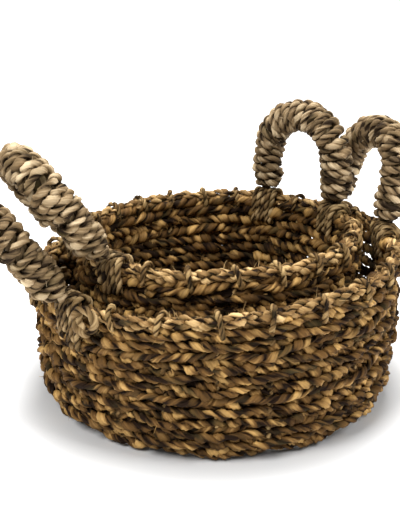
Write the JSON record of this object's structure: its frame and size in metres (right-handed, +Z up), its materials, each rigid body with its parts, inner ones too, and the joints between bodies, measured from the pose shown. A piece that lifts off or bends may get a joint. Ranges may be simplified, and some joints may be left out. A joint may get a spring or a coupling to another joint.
{
  "type": "seagrass storage basket",
  "caption": "Nested pair of round woven seagrass storage baskets with wrapped rope handles; the smaller one lifts out.",
  "frame": {"origin": "centre of the large basket's flat underside, on the floor", "axes": "+Z up; +X towards the large basket's right handle; +Y away from the front"},
  "size_m": [0.4446, 0.3622, 0.2692],
  "materials": {
    "base_coil": "matte",
    "woven_rope": "matte",
    "stake_rope": "matte",
    "rim_rope": "matte",
    "handle_core": "matte",
    "handle_wrap": "matte",
    "lashing": "matte"
  },
  "bodies": {
    "outer_basket": {"outer_base": "base_coil", "outer_weft": "woven_rope", "outer_stakes": "stake_rope", "outer_rim": "rim_rope", "outer_rim_loops": "stake_rope", "outer_right_lashing": "lashing", "outer_left_lashing": "lashing"},
    "inner_basket": {"inner_base": "base_coil", "inner_weft": "woven_rope", "inner_stakes": "stake_rope", "inner_rim": "rim_rope", "inner_rim_loops": "stake_rope", "inner_right_lashing": "lashing", "inner_left_lashing": "lashing"},
    "outer_right_handle": {"outer_right_core": "handle_core", "outer_right_wrap": "handle_wrap"},
    "outer_left_handle": {"outer_left_core": "handle_core", "outer_left_wrap": "handle_wrap"},
    "inner_right_handle": {"inner_right_core": "handle_core", "inner_right_wrap": "handle_wrap"},
    "inner_left_handle": {"inner_left_core": "handle_core", "inner_left_wrap": "handle_wrap"}
  },
  "joints": [
    {"name": "small_basket_lift", "type": "slide", "parent": "outer_basket", "child": "inner_basket", "axis": [0, 0, 1], "range_m": [0, 0.2]},
    {"name": "outer_right_handle_swing", "type": "hinge", "parent": "outer_basket", "child": "outer_right_handle", "pos_m": [0.16456, 0, 0.1669], "axis": [0, 1, 0], "range_deg": [0, 55]},
    {"name": "outer_left_handle_swing", "type": "hinge", "parent": "outer_basket", "child": "outer_left_handle", "pos_m": [-0.17992, -0.01891, 0.13842], "axis": [0.1045, -0.9945, 0], "range_deg": [-3, 40]},
    {"name": "inner_right_handle_swing", "type": "hinge", "parent": "inner_basket", "child": "inner_right_handle", "pos_m": [0.11533, 0.04427, 0.1782], "axis": [-0.3584, 0.9336, 0], "range_deg": [-35, 1]},
    {"name": "inner_left_handle_swing", "type": "hinge", "parent": "inner_basket", "child": "inner_left_handle", "pos_m": [-0.13987, -0.01224, 0.16837], "axis": [0.0872, -0.9962, 0], "range_deg": [-38, 1]}
  ]
}
